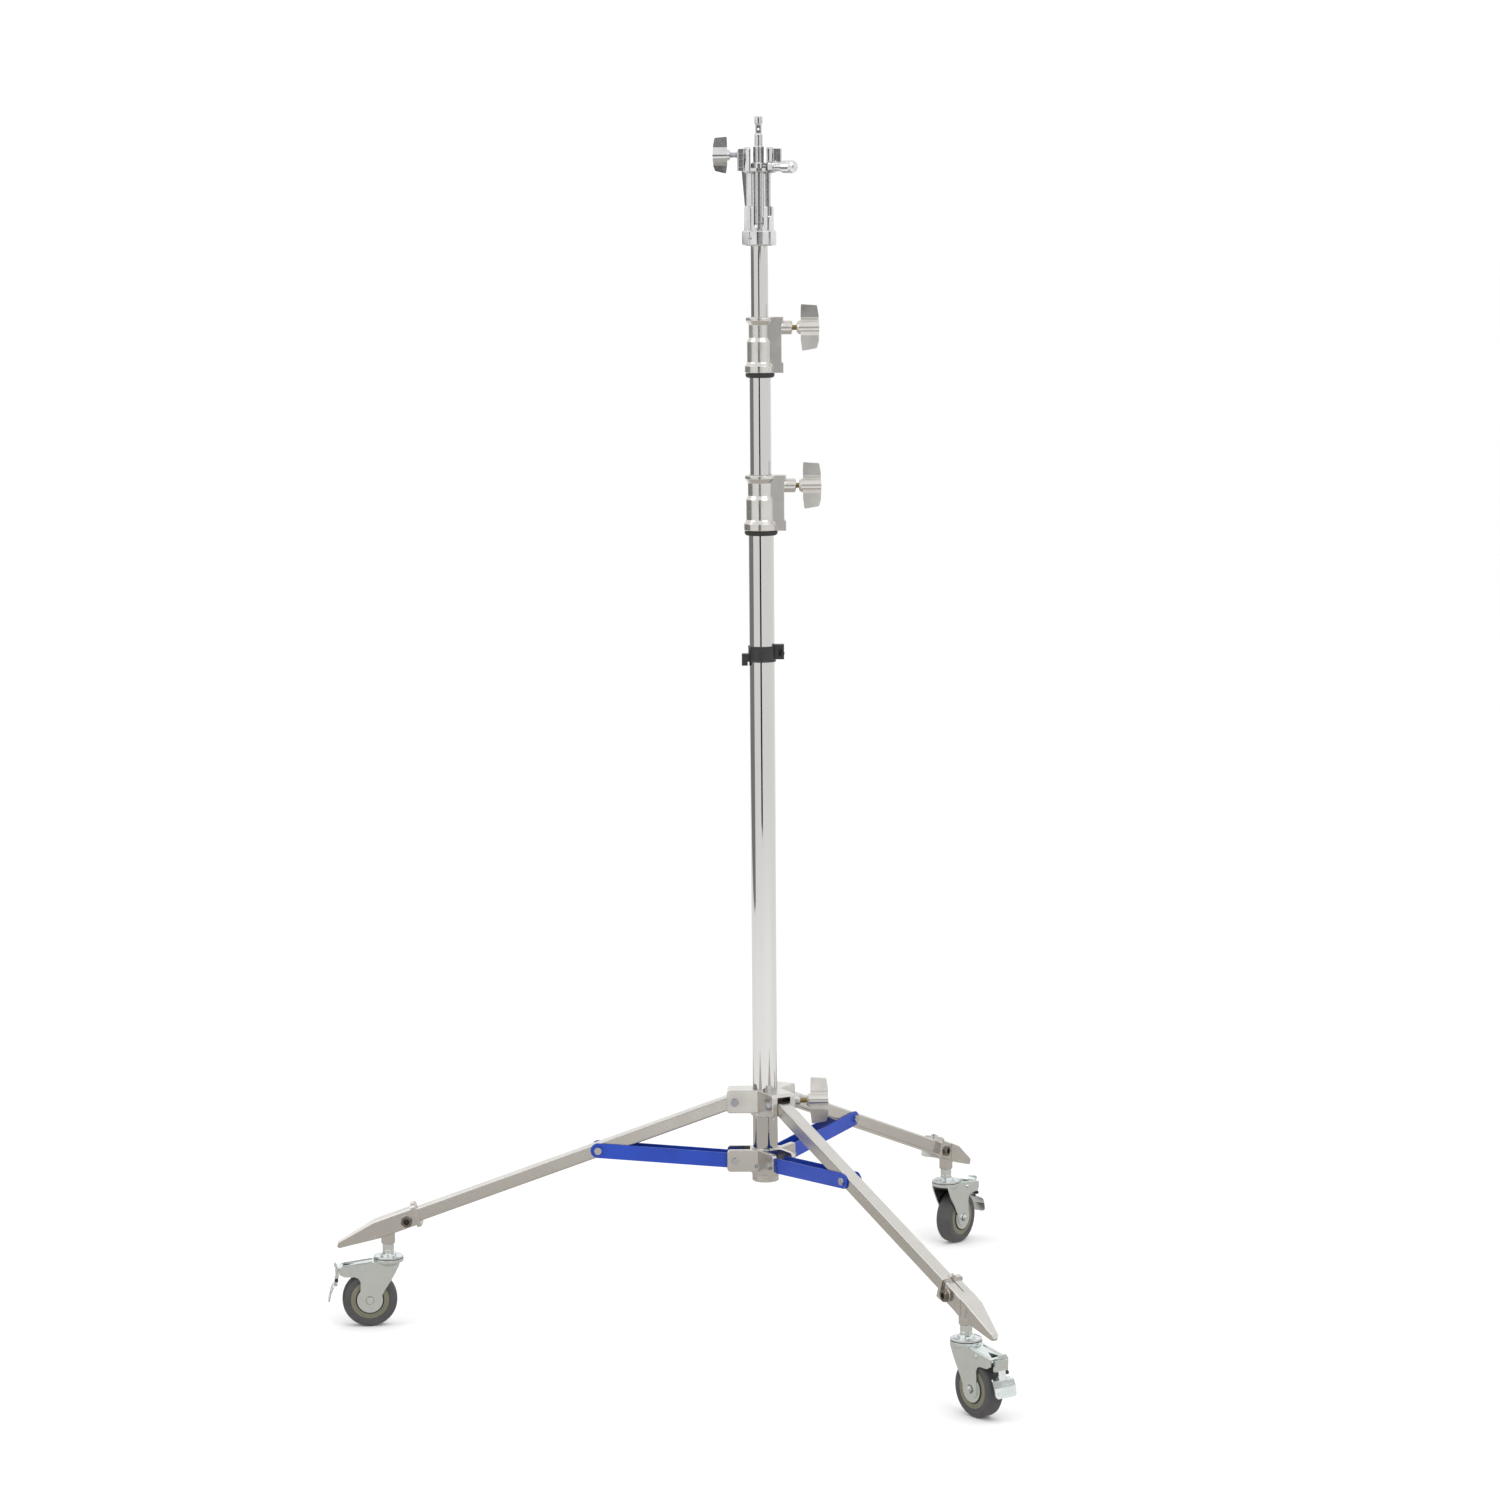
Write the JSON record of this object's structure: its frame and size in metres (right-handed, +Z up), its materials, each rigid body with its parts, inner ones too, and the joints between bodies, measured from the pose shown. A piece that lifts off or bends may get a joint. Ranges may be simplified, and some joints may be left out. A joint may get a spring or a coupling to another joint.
{
  "type": "rolling light stand",
  "caption": "Tall chrome light stand with two clamping risers, a drop-in mounting pin, folding legs with blue braces, and braked swivel casters.",
  "frame": {"origin": "on the floor, under the column's axis, with the wheels on z = 0", "axes": "+Z up along the column and the mounting pin; +X to the side that the clamp handles of the collars are on, with one leg along -X"},
  "size_m": [1.2256, 1.3958, 2.179],
  "materials": {
    "chrome_tube": "polished chrome plate",
    "cast_metal": "satin cast aluminium, clear coated",
    "chrome_cast": "bright chrome plate",
    "leg_metal": "satin nickel plate",
    "brace_paint": "blue powder coat",
    "zinc_plate": "bright zinc plate",
    "bolt_steel": "zinc plate",
    "dark_bolt": "dark oxide",
    "brass": "turned brass",
    "black_nylon": "moulded black nylon",
    "black_rubber": "moulded rubber",
    "tyre_rubber": "grey thermoplastic rubber",
    "core_plastic": "grey olive moulded plastic"
  },
  "bodies": {
    "base": {"base_tube": "chrome_tube", "base_end_cap": "cast_metal", "lower_hub": "cast_metal", "lower_hub_bolts": "bolt_steel", "base_collar": "cast_metal", "base_collar_bushing": "black_nylon", "base_collar_ring": "black_rubber", "tube_clip": "black_nylon"},
    "mid_riser": {"mid_riser_tube": "chrome_tube", "mid_riser_guide": "black_nylon", "mid_collar": "cast_metal", "mid_collar_ring": "black_rubber"},
    "top_riser": {"top_riser_tube": "chrome_tube", "top_riser_guide": "black_nylon", "head_socket": "chrome_cast", "head_collar": "chrome_cast"},
    "pin_carriage": {"pin_spigot": "chrome_cast", "baby_pin": "chrome_cast", "plunger_guide": "chrome_cast"},
    "plunger": {"plunger_knob": "chrome_cast"},
    "leg_slider": {"leg_hub": "cast_metal", "leg_hub_bolts": "bolt_steel"},
    "base_clamp": {"base_handle": "cast_metal", "base_clamp_screw": "brass"},
    "mid_clamp": {"mid_handle": "cast_metal", "mid_clamp_screw": "brass"},
    "hub_clamp": {"hub_handle": "cast_metal", "hub_clamp_screw": "brass"},
    "head_clamp": {"head_handle": "chrome_cast", "head_clamp_screw": "bolt_steel"},
    "left_leg": {"left_leg_tube": "leg_metal", "left_foot": "cast_metal", "left_foot_bolt": "dark_bolt", "left_caster_stem": "zinc_plate"},
    "left_strut": {"left_brace": "brace_paint", "left_brace_bolt": "bolt_steel"},
    "left_caster": {"left_caster_fork": "zinc_plate"},
    "left_wheel": {"left_tyre": "tyre_rubber", "left_wheel_core": "core_plastic"},
    "left_brake": {"left_brake_pedal": "zinc_plate"},
    "front_leg": {"front_leg_tube": "leg_metal", "front_foot": "cast_metal", "front_foot_bolt": "dark_bolt", "front_caster_stem": "zinc_plate"},
    "front_strut": {"front_brace": "brace_paint", "front_brace_bolt": "bolt_steel"},
    "front_caster": {"front_caster_fork": "zinc_plate"},
    "front_wheel": {"front_tyre": "tyre_rubber", "front_wheel_core": "core_plastic"},
    "front_brake": {"front_brake_pedal": "zinc_plate"},
    "rear_leg": {"rear_leg_tube": "leg_metal", "rear_foot": "cast_metal", "rear_foot_bolt": "dark_bolt", "rear_caster_stem": "zinc_plate"},
    "rear_strut": {"rear_brace": "brace_paint", "rear_brace_bolt": "bolt_steel"},
    "rear_caster": {"rear_caster_fork": "zinc_plate"},
    "rear_wheel": {"rear_tyre": "tyre_rubber", "rear_wheel_core": "core_plastic"},
    "rear_brake": {"rear_brake_pedal": "zinc_plate"}
  },
  "joints": [
    {"name": "mid_riser_slide", "type": "slide", "parent": "base", "child": "mid_riser", "axis": [0, 0, 1], "range_m": [-0.17, 0.88]},
    {"name": "top_riser_slide", "type": "slide", "parent": "mid_riser", "child": "top_riser", "axis": [0, 0, 1], "range_m": [-0.122, 0.95]},
    {"name": "pin_drop", "type": "slide", "parent": "top_riser", "child": "pin_carriage", "axis": [0, 0, 1], "range_m": [-0.08, 0]},
    {"name": "plunger_pull", "type": "slide", "parent": "pin_carriage", "child": "plunger", "axis": [0.7193, -0.6947, 0], "range_m": [0, 0.006], "stiffness_N_per_m": 600, "springref_m": -0.004},
    {"name": "base_clamp_turn", "type": "hinge", "parent": "base", "child": "base_clamp", "pos_m": [0.06, 0, 1.5275], "axis": [1, 0, 0], "range_deg": [0, 150]},
    {"name": "mid_clamp_turn", "type": "hinge", "parent": "mid_riser", "child": "mid_clamp", "pos_m": [0.06, 0, 1.8075], "axis": [1, 0, 0], "range_deg": [0, 150]},
    {"name": "hub_clamp_turn", "type": "hinge", "parent": "leg_slider", "child": "hub_clamp", "pos_m": [0.06, 0, 0.413], "axis": [1, 0, 0], "range_deg": [0, 150]},
    {"name": "head_clamp_turn", "type": "hinge", "parent": "top_riser", "child": "head_clamp", "pos_m": [-0.05, 0, 2.111], "axis": [-1, 0, 0], "range_deg": [0, 150]},
    {"name": "leg_fold", "type": "slide", "parent": "base", "child": "leg_slider", "axis": [0, 0, 1], "range_m": [0, 0.38553]},
    {"name": "left_leg_hinge", "type": "hinge", "parent": "leg_slider", "child": "left_leg", "pos_m": [-0.0547, 0, 0.41385], "axis": [0, -1, 0], "range_deg": [0, 55.21]},
    {"name": "left_strut_hinge", "type": "hinge", "parent": "base", "child": "left_strut", "pos_m": [-0.055, 0, 0.305], "axis": [0, 1, 0], "range_deg": [0, 69.67]},
    {"name": "left_swivel", "type": "hinge", "parent": "left_leg", "child": "left_caster", "pos_m": [-0.688, 0, 0.1245], "axis": [0, 0, 1], "continuous": true},
    {"name": "left_wheel_spin", "type": "hinge", "parent": "left_caster", "child": "left_wheel", "pos_m": [-0.72281, -0.00366, 0.05], "axis": [0.1045, -0.9945, 0], "continuous": true},
    {"name": "left_brake_press", "type": "hinge", "parent": "left_caster", "child": "left_brake", "pos_m": [-0.73773, -0.00523, 0.1085], "axis": [0.1045, -0.9945, 0], "range_deg": [0, 5]},
    {"name": "front_leg_hinge", "type": "hinge", "parent": "leg_slider", "child": "front_leg", "pos_m": [0.02735, -0.04737, 0.41385], "axis": [0.866, 0.5, 0], "range_deg": [0, 55.21]},
    {"name": "front_strut_hinge", "type": "hinge", "parent": "base", "child": "front_strut", "pos_m": [0.0275, -0.04763, 0.305], "axis": [-0.866, -0.5, 0], "range_deg": [0, 69.67]},
    {"name": "front_swivel", "type": "hinge", "parent": "front_leg", "child": "front_caster", "pos_m": [0.344, -0.59583, 0.1245], "axis": [0, 0, 1], "continuous": true},
    {"name": "front_wheel_spin", "type": "hinge", "parent": "front_caster", "child": "front_wheel", "pos_m": [0.36457, -0.62414, 0.05], "axis": [0.809, 0.5878, 0], "continuous": true},
    {"name": "front_brake_press", "type": "hinge", "parent": "front_caster", "child": "front_brake", "pos_m": [0.37339, -0.63628, 0.1085], "axis": [0.809, 0.5878, 0], "range_deg": [0, 5]},
    {"name": "rear_leg_hinge", "type": "hinge", "parent": "leg_slider", "child": "rear_leg", "pos_m": [0.02735, 0.04737, 0.41385], "axis": [-0.866, 0.5, 0], "range_deg": [0, 55.21]},
    {"name": "rear_strut_hinge", "type": "hinge", "parent": "base", "child": "rear_strut", "pos_m": [0.0275, 0.04763, 0.305], "axis": [0.866, -0.5, 0], "range_deg": [0, 69.67]},
    {"name": "rear_swivel", "type": "hinge", "parent": "rear_leg", "child": "rear_caster", "pos_m": [0.344, 0.59583, 0.1245], "axis": [0, 0, 1], "continuous": true},
    {"name": "rear_wheel_spin", "type": "hinge", "parent": "rear_caster", "child": "rear_wheel", "pos_m": [0.36357, 0.62484, 0.05], "axis": [-0.829, 0.5592, 0], "continuous": true},
    {"name": "rear_brake_press", "type": "hinge", "parent": "rear_caster", "child": "rear_brake", "pos_m": [0.37196, 0.63728, 0.1085], "axis": [-0.829, 0.5592, 0], "range_deg": [0, 5]}
  ],
  "couplings": [
    {"joint": "left_leg_hinge", "follows": "leg_fold", "rad_per_m": 2.499},
    {"joint": "left_strut_hinge", "follows": "leg_fold", "rad_per_m": 3.1535},
    {"joint": "front_leg_hinge", "follows": "leg_fold", "rad_per_m": 2.499},
    {"joint": "front_strut_hinge", "follows": "leg_fold", "rad_per_m": 3.1535},
    {"joint": "rear_leg_hinge", "follows": "leg_fold", "rad_per_m": 2.499},
    {"joint": "rear_strut_hinge", "follows": "leg_fold", "rad_per_m": 3.1535}
  ]
}
